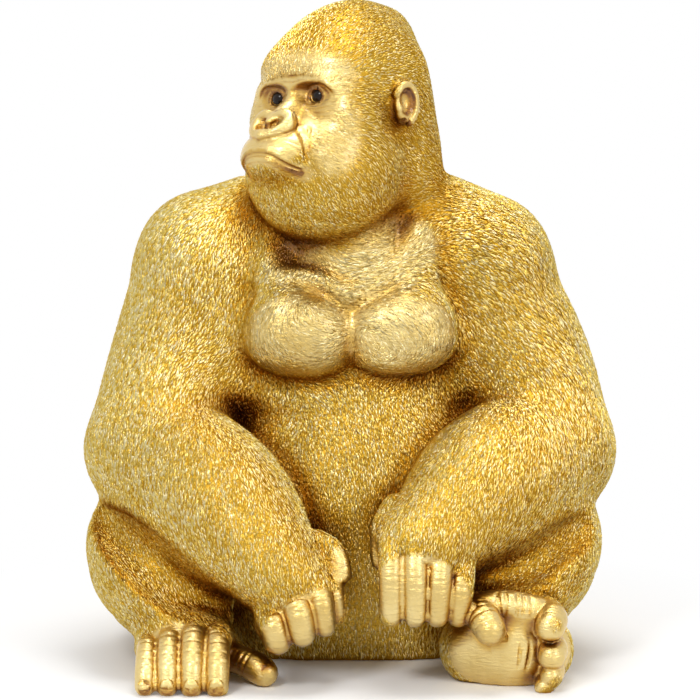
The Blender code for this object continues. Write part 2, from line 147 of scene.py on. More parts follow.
class Clay:
    """Lumps added and hollows cut, in order. Each step is read only where it can change the form."""

    def __init__(self):
        self.steps = []

    def add(self, sign, measure, low, high, fillet, place):
        """Keeps one step, with its reach as a box in the figure's frame."""
        corners = [
            place @ Vector((x, y, z))
            for x in (low[0], high[0])
            for y in (low[1], high[1])
            for z in (low[2], high[2])
        ]
        reach = fillet + 2 * GRID_STEP
        box_low = np.min(corners, axis=0) - reach
        box_high = np.max(corners, axis=0) + reach
        self.steps.append((sign, measure, box_low, box_high, fillet, np.array(place.inverted())))

    def lump(self, centre, radii, fillet=6, turn=(0, 0, 0), place=Matrix(), sign=1, boxy=2):
        """An ellipsoid, squarer the more boxy is above 2, turned in degrees about X, then Y, then Z."""
        turned = Matrix.Translation(centre)
        for angle, axis in zip(reversed(turn), "ZYX"):
            turned = turned @ Matrix.Rotation(math.radians(angle), 4, axis)
        r = np.array(radii, float)

        def measure(p):
            ratio = [np.abs(p[i]) / r[i] for i in range(3)]
            near = sum(v**boxy for v in ratio) ** (1 / boxy)
            rise = np.sqrt(sum((v ** (boxy - 1) / r[i]) ** 2 for i, v in enumerate(ratio)))
            return near ** (boxy - 1) * (near - 1) / np.maximum(rise, 1e-6)

        self.add(sign, measure, -r, r, fillet, place @ turned)

    def hollow(self, centre, radii, fillet=3, turn=(0, 0, 0), place=Matrix()):
        self.lump(centre, radii, fillet, turn, place, sign=-1)

    def limb(self, points, radii, fillet=6, place=Matrix(), sign=1):
        """A round limb curving through the points, its radius running from one to the next."""
        knots = np.array([[*p, r] for p, r in zip(points, radii)], float)
        line = smoothed(knots) if len(knots) > 2 else knots

        def measure(p):
            if p[0].ndim == 1:
                return nearest_piece(line, p)
            gaps = []
            for start, end in zip(line[:-1], line[1:]):
                along = end[:3] - start[:3]
                length = max(float(along @ along), 1e-9)
                t = sum((p[i] - start[i]) * along[i] for i in range(3)) / length
                t = np.clip(t, 0, 1)
                away = np.sqrt(sum((p[i] - start[i] - t * along[i]) ** 2 for i in range(3)))
                gaps.append(away - start[3] - t * (end[3] - start[3]))
            return np.minimum.reduce(gaps)

        low = (line[:, :3] - line[:, 3:]).min(axis=0)
        high = (line[:, :3] + line[:, 3:]).max(axis=0)
        self.add(sign, measure, low, high, fillet, place)

    def groove(self, points, radii, fillet=1, place=Matrix()):
        self.limb(points, radii, fillet, place, sign=-1)

    def read(self, axes):
        """Distance to the surface on the grid of these three axes, negative inside."""
        field = np.full([len(a) for a in axes], OUTSIDE, np.float32)
        for sign, measure, low, high, fillet, to_local in self.steps:
            part = tuple(
                slice(int(np.searchsorted(a, lo)), int(np.searchsorted(a, hi)))
                for a, lo, hi in zip(axes, low, high)
            )
            x, y, z = np.meshgrid(*[a[s] for a, s in zip(axes, part)], indexing="ij", sparse=True)
            local = [m[0] * x + m[1] * y + m[2] * z + m[3] for m in to_local[:3]]
            field[part] = melted(field[part], measure(local), fillet, sign)
        return np.maximum(field, -axes[2])

    def at(self, points):
        """Distance to the surface at each of these points, taken a block of the figure at a time."""
        lows = np.array([step[2] for step in self.steps])
        highs = np.array([step[3] for step in self.steps])
        block = np.floor(points / BLOCK).astype(int) @ (1, 1000, 1000000)  # one number for each block
        order = np.argsort(block, kind="stable")
        gaps = np.full(len(points), OUTSIDE, float)
        for lot in np.split(order, np.flatnonzero(np.diff(block[order])) + 1):
            near = points[lot]
            met = (lows < near.max(axis=0)) & (highs > near.min(axis=0))
            gap = gaps[lot]
            for index in np.flatnonzero(met.all(axis=1)):
                sign, measure, _, _, fillet, to_local = self.steps[index]
                local = to_local[:3, :3] @ near.T + to_local[:3, 3:]
                gap = melted(gap, measure(local), fillet, sign)
            gaps[lot] = gap
        return np.maximum(gaps, -points[:, 2])

    def slope(self, points):
        """The direction in which the distance grows fastest, at each of these points."""
        rise = 0
        for step in SLOPE_STEP * np.array([(1, -1, -1), (-1, -1, 1), (-1, 1, -1), (1, 1, 1)]):
            rise = rise + self.at(points + step)[:, None] * step
        return rise / (4 * SLOPE_STEP**2)


def nearest_piece(line, points):
    """Distance from each point of a list to the nearest piece of a tapering line."""
    start = line[:-1, :3, None]
    along = line[1:, :3, None] - start
    length = np.maximum((along**2).sum(axis=1), 1e-9)
    away = np.array(points)[None] - start
    t = np.clip((away * along).sum(axis=1) / length, 0, 1)
    away -= t[:, None] * along
    radius = line[:-1, 3:] + t * np.diff(line[:, 3])[:, None]
    return (np.sqrt((away**2).sum(axis=1)) - radius).min(axis=0)


def melted(before, gap, fillet, sign):
    """The form after one step: the smaller distance when adding, the larger when cutting, eased."""
    if sign < 0:
        return -melted(-before, gap, fillet, 1)
    mix = np.clip(0.5 + 0.5 * (before - gap) / fillet, 0, 1)
    return before + (gap - before) * mix - fillet * mix * (1 - mix)


def smoothed(knots, pieces=4):
    """A curve through every knot, with this many straight pieces between two of them."""
    ends = np.vstack([2 * knots[0] - knots[1], knots, 2 * knots[-1] - knots[-2]])
    line = []
    for a, b, c, d in zip(ends[:-3], ends[1:-2], ends[2:-1], ends[3:]):
        for t in np.arange(pieces) / pieces:
            start = 2 * b + (c - a) * t + (2 * a - 5 * b + 4 * c - d) * t**2
            line.append(0.5 * start + 0.5 * (3 * b - a - 3 * c + d) * t**3)
    return np.array([*line, knots[-1]])


def mirrored(points, side):
    """The points as they are for side 1, and mirrored in x for side -1."""
    return [(x * side, y, z) for x, y, z in points]


def whole_line(half):
    """A line from one side of the face to the other, from its half that starts in the middle."""
    return mirrored(half[:0:-1], -1) + half


def torso(clay):
    clay.lump((2, 40, 42), (104, 94, 76), 10, boxy=2.8)
    clay.lump((6, 14, 96), (86, 84, 90), 14)
    clay.lump((0, 30, 180), (84, 70, 80), 18)
    clay.lump((0, 4, 208), (72, 51, 46), 14)
    clay.lump((0, 60, 200), (86, 64, 80), 18)
    clay.lump((0, 72, 118), (94, 62, 88), 18)
    clay.lump((0, -8, 158), (60, 40, 19), 12)


def shoulders(clay):
    for x, y in ((-54, 24), (50, 26)):
        clay.lump((x, y, 248), (44, 42, 38), 14)
    clay.limb([(0, 34, 250), (-2, 14, 292)], [46, 44], 14)
    for x, z in ((-86, 233), (79, 231)):
        clay.lump((x, 14, z), (SHOULDER, 46, SHOULDER), 10)


def chest(clay):
    """Two smooth pads, with straps that rise from where they meet to the shoulders."""
    clay.lump((5, -10, 238), (34, 33, 26), 12)
    clay.lump((-28.5, -34, 195), (33, 28, 26), 6, turn=(0, 8, 0), boxy=2.5)
    clay.lump((29.5, -34, 196), (33, 28, 26), 6, turn=(0, -8, 0), boxy=2.5)
    clay.limb([(-38, -38, 214), (-46, -30, 230), (-47, -18, 246)], [13, 9, 7], 12)
    clay.limb([(38, -38, 216), (42, -29, 236), (42, -16, 252)], [13, 11, 8], 12)
    clay.limb([(0, -46, 219), (-19, -43, 228), (-34, -38, 230), (-48, -32, 225)], [3.2, 4, 4, 4], 7)
    clay.limb([(0, -46, 219), (20, -40, 229), (33, -31, 240), (39, -20, 252)], [3.2, 4.4, 5, 5], 9)
    clay.groove([(1, -63, 220), (1, -62, 200), (1, -60, 180)], [1.4, 1.8, 1.8], 4)


def armpits(clay):
    """Flesh that bridges the chest and the upper arms."""
    for side in (-1, 1):
        clay.limb(mirrored([(66, -4, 224), (69, -9, 196), (71, -8, 166)], side), [22, 22, 20], 14)


def arms(clay):
    elbow = 117
    for side, shoulder in ((-1, 92), (1, 84)):
        upper = [(shoulder, 14, 216), (105, 6, 172), (elbow, -14, 124)]
        clay.limb(mirrored(upper, side), [UPPER_ARM] * 3, 8)
    clay.limb([(-elbow, -16, 122), (-77, -60, 97), (-48, -90, 72)], [ELBOW - 2, ELBOW, WRIST], 7)
    clay.limb([(elbow, -16, 122), (82, -60, 108), (52, -88, 88)], [ELBOW - 2, ELBOW, WRIST], 7)


def legs(clay):
    """Folded thighs and calves that lie open on the ground, running in to the feet."""
    clay.limb([(-60, 60, 50), (-107, -36, 68), (-99, -72, 34)], [56, KNEE, 28], 8)
    clay.limb([(60, 60, 50), (100, -34, 71), (90, -70, 32)], [56, KNEE, 26], 8)
    under_left = [(-150, -42, 90), (-137, -68, 84), (-120, -88, 73), (-105, -94, 62)]
    clay.groove(under_left + [(-90, -94, 51), (-74, -88, 40)], [6, 12, 16, 17, 16, 12], 6)
    under_right = [(139, -64, 85), (119, -86, 78), (106, -92, 70), (93, -94, 66), (82, -93, 63)]
    clay.groove(under_right, [8, 13, 14, 12, 8], 6)


def flat_toe(x, top, size):
    """The path and the thickness of a toe that is turned down to the ground."""
    r = TOE * size
    knuckle = top - r
    return [(x, -90, knuckle - 2), (x, -106, knuckle), (x, -121, 0.6 * knuckle), (x, -127, 5)], r


def turned_toe(x, z, size):
    """The path and the thickness of a toe that curls over the sole."""
    return [(x - 3, -98, z + 2), (x, -112, z + 1), (x - 1.5, -120, z - 3 * size + 2)], TOE * size


def flat_foot(clay):
    """The left foot: flat on the ground, four toes turned down and the big one apart."""
    clay.lump((-95, -84, 18), (30, 28, 22), 5)
    for toe in FLAT_TOES:
        path, r = flat_toe(*toe)
        clay.limb(path, [r, r, r, 0.95 * r], 1.6)
    clay.limb(FLAT_BIG_TOE, [BIG_TOE, BIG_TOE - 0.6, BIG_TOE, BIG_TOE - 1], 4)


def turned_foot(clay):
    """The right foot: on its outer edge, its sole to the front and its toes curled over it."""
    clay.limb([(74, -88, 18), (92, -90, 19), (107, -92, 18)], [22, 26, 22], 6)
    clay.lump((90, -92, 31), (27, 22, 20), 6, boxy=2.6)
    clay.limb([(73, -104, 45), (88, -106, 47), (106, -106, 43)], [8.5, 9, 9.5], 4)
    clay.limb(TURNED_BIG_TOE, [BIG_TOE, BIG_TOE + 0.5, BIG_TOE], 1)
    for toe in TURNED_TOES:
        path, r = turned_toe(*toe)
        clay.limb(path, [r, r, 0.95 * r], 0.8)


def finger(x, front, top, bottom, lean, size):
    """The path and the thickness of a finger curled down from the knuckle and in again."""
    r = FINGER * size
    y, low = front + r, bottom + r
    path = [(x - lean, y + 13, top + 2), (x - 0.6 * lean, y + 5, top - 6), (x, y, 0.5 * (top + low))]
    return path + [(x + 0.5 * lean, y + 3, low + 1), (x + 0.5 * lean, y + 13, low)], r


def hand(clay, fingers, fillet):
    """Curled fingers side by side."""
    for row in fingers:
        path, r = finger(*row)
        clay.limb(path, [r, r, r, 0.97 * r, 0.9 * r], fillet)


def left_hand(clay):
    clay.lump((-37, -98, 61), (28, 26, 25), 8, turn=(0, 30, 0))
    clay.lump((-33, -108, 42), (23, 12, 16), 6, turn=(0, -30, 0))
    clay.lump((-17, -99, 67), (8, 8, 11), 4)
    hand(clay, LEFT_FINGERS, 2.4)
    clay.limb([(-19, -92, 82), (-10, -97, 79), (-5, -102, 72), (-3.2, -104, 64)], [6, 5, 4.6, 4.6], 3)


def right_hand(clay):
    clay.lump((43, -98, 82), (29, 25, 22), 8, turn=(0, 12, 0))
    clay.lump((43, -107, 58), (25, 13, 18), 6)
    hand(clay, RIGHT_FINGERS, 1.4)
    clay.limb([(26, -88, 100), (18.5, -94, 92), (15.5, -98, 78), (16.5, -99, 70)], [8, 5.5, 4.4, 4], 2)


def skull(clay, place):
    clay.lump((0, 7, 20), (47, 50, 47), 10, place=place)
    clay.limb([(0, -12, 43), (0, 14, 52), (0, 36, 48)], [16, 17, 20], 14, place=place)
    clay.lump((0, -18, 30), (40, 26, 20), 10, place=place)
    clay.lump((0, 30, -22), (42, 32, 50), 16, place=place)
    clay.lump((0, -20, -29), (47, 46, 44), 12, place=place)
    clay.lump((0, -22, 4), (38, 22, 27), 8, place=place)
    for side in (-1, 1):
        clay.lump((29 * side, -28, 0), (15, 15, 20), 10, place=place)
    clay.lump((0, -51, -19), (28, 28, 18), 6, place=place)


def brows(clay, place):
    brow = [(-36, -28, 9), (-30, -36, 18.5), (-16, -41.5, 21.5), (0, -42, 20.5)]
    whole = brow + mirrored(brow[-2::-1], -1)
    clay.limb(whole, [3.2, 4.6, 5.2, 4.2, 5.2, 4.6, 3.2], 4, place=place)


def eye_place(side):
    """The middle of one eye in the head's frame."""
    return (side * EYE_SPACING / 2, -EYE_FORWARD, EYE_HEIGHT)


def nose(clay, place):
    clay.limb([(0, -37, 20), (0, -42, 12), (0, -57, 1)], [5, 5.5, 7], 5, place=place)
    clay.lump((0, -59, -3), (11, 12, 8), 3, place=place)
    for side in (-1, 1):
        top = [(1.5, -61.5, 3), (6.5, -60.5, 4.4), (10.8, -60.5, 1.5)]
        low = [(11, -64.5, -2.6), (6.5, -70, -5.6), (0, -73.5, -6.8)]
        clay.limb(mirrored(top + low, side), [3, 4, 4.6, 4.8, 4.3, 3.2], 1.4, place=place)
    for side in (-1, 1):
        clay.hollow((5.2 * side, -69.5, 0), (2.6, 5.5, 5), 1, turn=(-14, 34 * side, 0), place=place)


def mouth(clay, place):
    middle = [(0, -79, -17.4), (6, -78.5, -18), (10, -77.3, -19.3), (13.5, -75.2, -21.8)]
    line = middle + [(17.4, -70.4, -25.4), (20.5, -65, -28)]
    whole = whole_line(line)
    upper = [(x, y + 0.9, z + 1.8) for x, y, z in whole]
    lower = [(x, y + 0.9, z - 2) for x, y, z in whole]
    for lip in (upper, lower):
        clay.limb(lip, [LIP_RADIUS] * 11, 1.6, place=place)
    taper = [0.7, 0.8, 0.9, 1, 1, 1, 1, 1, 0.9, 0.8, 0.7]
    between = [(x, y - 0.6, z) for x, y, z in whole]
    clay.groove(between, [MOUTH_LINE * t for t in taper], 1, place=place)


def cheek_fold(clay, place, side):
    fold = [(17, -59, 0), (19.5, -60, -6), (23.5, -62, -12), (25, -63.5, -22)]
    clay.groove(mirrored(fold, side), [0.8, 1.6, 1.8, 0.8], 3.5, place=place)


def ear(clay, place, side):
    clay.lump((45.5 * side, 1, 7), (5, 8.5, 12), 3, turn=(0, 0, 12 * side), place=place)
    clay.hollow((50.5 * side, -1, 8), (4, 5, 8), 1.5, place=place)
    rim = [(47, -6.5, 13), (48.5, -3, 17.5), (49.5, 3, 17.5), (50, 7, 11), (49.5, 7, 3), (48, 3, -4)]
    clay.limb(mirrored(rim, side), [EAR_WALL] * 6, 1, place=place)


def head(clay, place):
    skull(clay, place)
    brows(clay, place)
    for side in (-1, 1):
        x, y, z = eye_place(side)
        clay.hollow((x - side, y - 10, z + 2), (10, 8, 6), 5, place=place)
        clay.lump((x, y + 1.5, z - 0.5), (9, 5, 7), 4, place=place)
    nose(clay, place)
    for side in (-1, 1):
        cheek_fold(clay, place, side)
        ear(clay, place, side)


def head_place():
    turn = Matrix.Rotation(math.radians(HEAD_TURN), 4, "Z")
    roll = Matrix.Rotation(math.radians(HEAD_ROLL), 4, "Y")
    return Matrix.Translation(HEAD_CENTRE) @ turn @ roll


def sculpt(place):
    """All the clay of the body."""
    clay = Clay()
    torso(clay)
    shoulders(clay)
    legs(clay)
    head(clay, place)
    chest(clay)
    armpits(clay)
    arms(clay)
    flat_foot(clay)
    turned_foot(clay)
    left_hand(clay)
    right_hand(clay)
    return clay


def lifted(clay, points, radius, lift, place):
    """The points set on the form, with the middle of a limb of this radius so that it stands proud."""
    found = settled(clay, np.array([place @ Vector(p) for p in points]), rounds=3, most=2.5)
    out = clay.slope(found)
    out /= np.linalg.norm(out, axis=1, keepdims=True)
    return (found + out * (lift - radius)).tolist()


def crease(clay, points, radius, depth, place=Matrix(), fillet=0.5):
    """A line cut into the form to this depth, thinning out at both ends."""
    path = lifted(clay, points, radius, 2 * radius - depth, place)
    clay.groove(path, tapered(radius, len(path)), fillet)


def tapered(radius, count):
    return [radius * (0.5 + 0.5 * math.sin(math.pi * i / (count - 1))) for i in range(count)]


def eye_lids(clay, place, side):
    """The lids close over the bead but for a round opening with a thin rim."""
    x, y, z = eye_place(side)
    clay.lump((x, y, z), [EYE_DIAMETER / 2 + 1.2] * 3, 2.6, place=place)
    clay.hollow((x - 0.3 * side, y - 6.2, z), (4.8, 5, 4.4), 0.4, place=place)
    rim = []
    for step in range(13):
        turn = math.tau * step / 12
        rim.append((x + 5.5 * math.cos(turn), y - 5, z + 5 * math.sin(turn)))
    clay.limb(lifted(clay, rim, 0.8, 0.6, place), [0.8] * 13, 0.4)


def eye_creases(clay, place, side):
    """Bags under the eye and a line over its lid."""
    for drop in (0, 2.6, 5.4):
        bag = [(8.8, -45, 9), (12, -45.5, 7), (17, -45.5, 6.2), (23, -44.5, 6.8), (31, -42.5, 8)]
        path = mirrored([(x + 0.7 * drop, y, z - drop) for x, y, z in bag], side)
        crease(clay, path, 1.3, 0.6, place)
    lid = [(9.3, -40, 17), (12.5, -41, 20), (17.5, -42.5, 21.4), (22.5, -43, 20.4), (27, -42, 16)]
    crease(clay, mirrored(lid + [(28.7, -41, 12)], side), 1.4, 0.7, place)
    crease(clay, mirrored([(25, -43, 12), (28, -42.5, 11), (33, -41, 11.5)], side), 1.2, 0.5, place)


def frown(clay, place):
    """The line over the brows and the short ones that pull them together."""
    half = [(0, -46, 25), (8, -46, 25.6), (16, -45, 25), (24, -43, 24.4), (29.5, -41, 20), (33, -40, 12)]
    crease(clay, whole_line(half), 2.4, 1.3, place, fillet=0.8)
    for x, lean in ((-8, -5), (-3, -2.5), (4, 4), (9, 8)):
        crease(clay, [(x, -46, 26), (x + 0.5 * lean, -45, 29.5), (x + lean, -43, 32)], 1.5, 0.6, place)
    for x in (-3, 2.5):
        crease(clay, [(x, -46, 21), (0.8 * x, -46, 17), (0.5 * x, -46, 13)], 1.4, 0.5, place)


def nostril(clay, place, side):
    """The pit inside the rolled wing, and the line round the wing."""
    x = NOSE_MIDDLE + 5.5 * side
    clay.hollow((x, -68.5, -0.4), (2.8, 5, 5.2), 1, turn=(-14, 30 * side, 0), place=place)
    wing = [(14, -61, 6), (16.4, -61, 1), (16, -63, -4)]
    crease(clay, mirrored(wing, side), 2, 0.7, place)


def muzzle_creases(clay, place, side):
    """Folds that fan out from the nose over the cheek, and down beside the mouth."""
    for out in (0, 3, 6):
        fan = [(15 + out, -56, 6), (19 + out, -57, 1), (22 + out, -59, -5), (25 + 0.8 * out, -60, -12)]
        crease(clay, mirrored(fan, side), 1.4, 0.6, place)
    for drop in (0, 3.2):
        across = [(12, -72, -10 - drop), (16, -68, -12.5 - drop), (20, -65, -16 - drop)]
        crease(clay, mirrored(across, side), 1.2, 0.4, place)


def ear_creases(clay, place, side):
    """The inner fold, the notch over the lobe and the lobe itself."""
    fold = [(50, -5, 12), (50.5, -1, 14), (51, 3.5, 11), (50.5, 3, 5), (49.5, 0, 1)]
    clay.limb(mirrored(fold, side), [1, 1.3, 1.4, 1.3, 1], 0.6, place=place)
    clay.lump((47.5 * side, -5, 5), (2, 2.4, 2.8), 1, place=place)
    clay.lump((47.5 * side, -1.5, -3.5), (2.6, 3.6, 3.4), 1, place=place)


def rings(clay, path, radius, spots, reach, depth, facing=(0, -1, 0.35)):
    """Wrinkles across a finger or toe, over the side that faces out, at these shares of its length."""
    line = smoothed(np.array(path, float))
    far = np.array(facing)
    for spot in spots:
        where = spot * (len(line) - 1)
        index = min(int(where), len(line) - 2)
        at = line[index] + (where - index) * (line[index + 1] - line[index])
        along = line[index + 1] - line[index]
        along /= np.linalg.norm(along)
        out = far - (far @ along) * along
        out /= np.linalg.norm(out)
        side = np.cross(along, out)
        arc = []
        for turn in np.radians([-reach, -0.5 * reach, 0, 0.5 * reach, reach]):
            arc.append(at + radius * (math.cos(turn) * out + math.sin(turn) * side))
        crease(clay, arc, 1.1, depth)


def finger_wrinkles(clay, fingers, spots):
    for row in fingers:
        path, r = finger(*row)
        rings(clay, path[1:4], r, spots, 48, 0.45)


def toe_wrinkles(clay):
    """Wrinkles across the flat toes, and their nails."""
    for x, top, size in FLAT_TOES:
        path, r = flat_toe(x, top, size)
        path[0] = (x, -98, top - r)
        rings(clay, path, r, (0.16, 0.27, 0.38, 0.5, 0.6, 0.7), 50, 0.5, facing=(0, -1, 0.8))
        clay.lump((x, -127 - 0.82 * r, 5.4), (0.56 * r, 1.5, 4.6), 0.5, turn=(-12, 0, 0), boxy=3)


def big_toe_wrinkles(clay):
    rings(clay, FLAT_BIG_TOE[:3], BIG_TOE, (0.5, 0.66, 0.82), 55, 0.5)
    clay.lump((-46.5, -112.5, 11), (4.4, 2, 3.6), 0.5, turn=(0, 0, 35), boxy=3)
    rings(clay, TURNED_BIG_TOE, BIG_TOE, (0.3, 0.45, 0.6, 0.75), 60, 0.5)


def sole_creases(clay):
    """Lines down the sole beside the toes, and across the ball under them."""
    for x, top, low in ((86, 36, 22), (96, 38, 10), (101, 36, 8), (105.5, 34, 6)):
        path = [(x, -118, top), (x + 1.5, -120, 0.6 * top + 0.4 * low), (x - 0.5, -118, low)]
        crease(clay, path, 1.4, 0.6)
    for x in (84, 88.5, 95, 98.5, 103):
        crease(clay, [(x, -108, 56), (x + 0.6, -115, 50), (x - 0.4, -116, 42)], 1.3, 0.6)
    for toe in TURNED_TOES:
        path, r = turned_toe(*toe)
        rings(clay, path[1:], r, (0.25, 0.5, 0.75), 50, 0.4)


def details(clay, place):
    """The small forms, set on the finished body."""
    mouth(clay, place)
    frown(clay, place)
    for side in (-1, 1):
        eye_lids(clay, place, side)
        eye_creases(clay, place, side)
        nostril(clay, place, side)
        muzzle_creases(clay, place, side)
        ear_creases(clay, place, side)
    finger_wrinkles(clay, LEFT_FINGERS, (0.02, 0.1, 0.17, 0.26, 0.34, 0.45))
    finger_wrinkles(clay, RIGHT_FINGERS, (0, 0.06, 0.12, 0.18, 0.25, 0.31, 0.38, 0.5))
    toe_wrinkles(clay)
    big_toe_wrinkles(clay)
    sole_creases(clay)


def at_corner(inside, offset):
    """For every cell of the grid, whether its corner at this offset is inside."""
    return inside[tuple(slice(o, n - 1 + o) for o, n in zip(offset, inside.shape))]


def corners_inside(inside):
    """For every cell of the grid, how many of its corners are inside."""
    return sum(at_corner(inside, offset).astype(np.int8) for offset in CELL_CORNERS)


def fill_pinches(field):
    """Fills the grid cells in which two sheets of the surface would meet along an edge or at a point."""
    filled = -0.1
    flat = [(0, 0, 0), (1, 0, 0), (1, 1, 0), (0, 1, 0)]
    faces = [[tuple(np.roll(c, turn)) for c in flat] for turn in range(3)]
    opposite = [((0, 0, 0), (1, 1, 1)), ((1, 0, 0), (0, 1, 1))]
    opposite += [((0, 1, 0), (1, 0, 1)), ((0, 0, 1), (1, 1, 0))]
    while True:
        inside = field < 0
        pinched = np.zeros(np.array(field.shape) - 1, bool)
        for face in faces:
            a, b, c, d = (at_corner(inside, offset) for offset in face)
            pinched |= (a == c) & (b == d) & (a != b)
        count = corners_inside(inside)
        for ends in opposite:
            a, b = (at_corner(inside, offset) for offset in ends)
            pinched |= (count == 2) & a & b
            pinched |= (count == 6) & ~a & ~b
        if not pinched.any():
            return
        for cell in np.argwhere(pinched):
            block = tuple(slice(i, i + 2) for i in cell)
            field[block] = np.minimum(field[block], filled)


def surface(field, axes):
    """Points and four-cornered faces of the surface where the field changes sign."""
    inside = field < 0
    count = corners_inside(inside)
    cells = np.argwhere((count > 0) & (count < 8))
    step = np.array([a[1] - a[0] for a in axes])
    points = np.array([a[0] for a in axes]) + (cells + middles(field, cells)) * step
    index = np.full(count.shape, -1)
    index[tuple(cells.T)] = np.arange(len(cells))
    return points, cell_faces(inside, index)


def middles(field, cells):
    """For each of these cells, the mean of the places where the surface cuts its edges."""
    corners = np.array(CELL_CORNERS)
    values = np.stack([field[tuple((cells + c).T)] for c in corners], axis=1)
    total = np.zeros((len(cells), 3))
    crossings = np.zeros(len(cells))
    edges = [(a, b) for a in range(8) for b in range(a + 1, 8) if bin(a ^ b).count("1") == 1]
    for a, b in edges:
        cut = (values[:, a] < 0) != (values[:, b] < 0)
        t = values[:, a] / np.where(cut, values[:, a] - values[:, b], 1)
        at = corners[a] + t[:, None] * (corners[b] - corners[a])
        total += np.where(cut[:, None], at, 0)
        crossings += cut
    return total / crossings[:, None]


def cell_faces(inside, index):
    """A four-cornered face round every edge of the grid that the surface cuts, facing out."""
    unit = np.eye(3, dtype=int)
    faces = []
    for axis in range(3):
        u, v = unit[(axis + 1) % 3], unit[(axis + 2) % 3]
        start = inside[tuple(slice(0, -1) if i == axis else slice(1, -1) for i in range(3))]
        end = inside[tuple(slice(1, None) if i == axis else slice(1, -1) for i in range(3))]
        for crossed, order in ((start & ~end, 1), (~start & end, -1)):
            at = np.argwhere(crossed) + (1 - unit[axis])
            ring = [at - u - v, at - v, at, at - u]
            faces.append(np.stack([index[tuple(c.T)] for c in ring], axis=1)[:, ::order])
    return np.vstack(faces)


def bare_zones(place):
    """Where the face, hands and feet have no fur: measured like lumps, negative inside."""
    zones = Clay()
    zones.lump((0, -42, 11), (33, 26, 16.5), 3, place=place, boxy=2.6)
    zones.lump((0, -62, -10), (24, 27, 17), 4, place=place, boxy=2.6)
    beard = [(0, -78, -33), (10, -76, -35), (20, -66, -41), (30, -50, -44)]
    zones.limb(whole_line(beard), [9] * 7, 1, place=place, sign=-1)
    lips = [(0, -79.6, -18.5), (7, -78.6, -20), (12, -75.8, -23), (17, -70.2, -27.5), (21.5, -63, -30)]
    zones.limb(whole_line(lips), [5] * 9, 1, place=place)
    for side in (-1, 1):
        zones.lump((50 * side, 1, 7), (9, 10, 15), 2, place=place)
    # Fingers and thumb of the left hand and of the right, then the left foot with its big toe, and the sole
    zones.lump((-22, -132, 39), (38, 26, 19), 3, turn=(0, -30, 0))
    zones.limb([(-3, -104, 73), (-1, -106, 60)], [8, 8], 3)
    zones.lump((41, -130, 56), (31, 26, 24), 3, turn=(0, 20, 0))
    zones.limb([(14, -97, 80), (15, -99, 66)], [7, 7], 3)
    zones.lump((-96, -118, 14), (33, 30, 26), 3)
    zones.limb([(-70, -92, 10), (-50, -108, 6)], [14, 14], 3)
    zones.lump((92, -112, 26), (42, 22, 34), 3)
    return zones


def combed_zones(place):
    """Where long low strands are combed over the smooth chest, the throat and the edge of the face."""
    zones = Clay()
    zones.lump((0, -40, 22), (38, 24, 19), 3, place=place, boxy=2.4)
    for side in (-1, 1):
        zones.lump((31 * side, -44, -8), (12, 20, 26), 3, place=place)
    for x in (-29, 30):
        zones.lump((x, -52, 196), (35, 26, 25), 4)
    zones.lump((0, -40, 226), (42, 26, 18), 5)
    zones.lump((24, -34, 244), (30, 26, 20), 5, turn=(0, -20, 0))
    zones.lump((-28, -36, 236), (22, 20, 16), 5)
    return zones


def fine_zones(place):
    """Where the skin is read most finely."""
    zones = Clay()
    zones.lump((0, -52, 6), (36, 34, 30), 2, place=place)
    zones.lump((0, -66, -18), (30, 22, 20), 2, place=place)
    for side in (-1, 1):
        zones.lump((49 * side, 1, 7), (8, 12, 16), 2, place=place)
    hands = [((-26, -120, 44), (34, 28, 30)), ((42, -120, 58), (34, 26, 28))]
    feet = [((-90, -118, 16), (46, 26, 28)), ((92, -112, 26), (40, 24, 34))]
    for centre, radii in hands + feet:
        zones.lump(centre, radii, 2)
    return zones


def as_mesh(name, points, faces):
    mesh = bpy.data.meshes.new(name)
    mesh.from_pydata(points.tolist(), [], faces.tolist())
    return mesh


def refined(mesh, zones, bare, cuts):
    """The mesh with its bare faces in the zones quartered, this many times over."""
    margin = 3
    work = bmesh.new()
    work.from_mesh(mesh)
    for _ in range(cuts):
        points = np.array([v.co for v in work.verts])
        inside = np.maximum(zones.at(points), bare.at(points) - margin) < 0
        work.verts.ensure_lookup_table()
        edges = [e for e in work.edges if inside[e.verts[0].index] and inside[e.verts[1].index]]
        bmesh.ops.subdivide_edges(work, edges=edges, cuts=1, use_grid_fill=True)
        work.verts.index_update()
    work.to_mesh(mesh)
    work.free()


def settled(clay, points, rounds=2, most=0.9):
    """The points moved on to the surface along the slope of the distance, each round by no more than most."""
    least_steep = 0.3
    for _ in range(rounds):
        slope = clay.slope(points)
        steep = np.maximum((slope**2).sum(axis=1), least_steep)
        move = np.clip(clay.at(points) / steep, -most, most)
        points = points - move[:, None] * slope
    return points


def vectors(mesh, name):
    """The places of the mesh's points, under the name co, or their normals, under the name normal."""
    values = np.zeros(len(mesh.vertices) * 3)
    mesh.vertices.foreach_get(name, values)
    return values.reshape(-1, 3)


def keep(mesh, name, values):
    """A number for each point of the mesh, under this name."""
    mesh.attributes.new(name, "FLOAT", "POINT").data.foreach_set("value", values)


def shade_amount(clay, points, normals):
    """How deep each point lies between other forms or under them, from 0 in the open to 1 and more, with more
    where it looks down: the amount of painted shade.
    """
    hidden = np.zeros(len(points))
    for reach in RECESS_REACHES:
        hidden += 1 - np.clip(clay.at(points + normals * reach) / reach, 0, 1)
    # Faces that look down get painted shade as well.
    return hidden / len(RECESS_REACHES) + UNDERSIDE_SHADE * np.clip(-normals[:, 2], 0, 1)


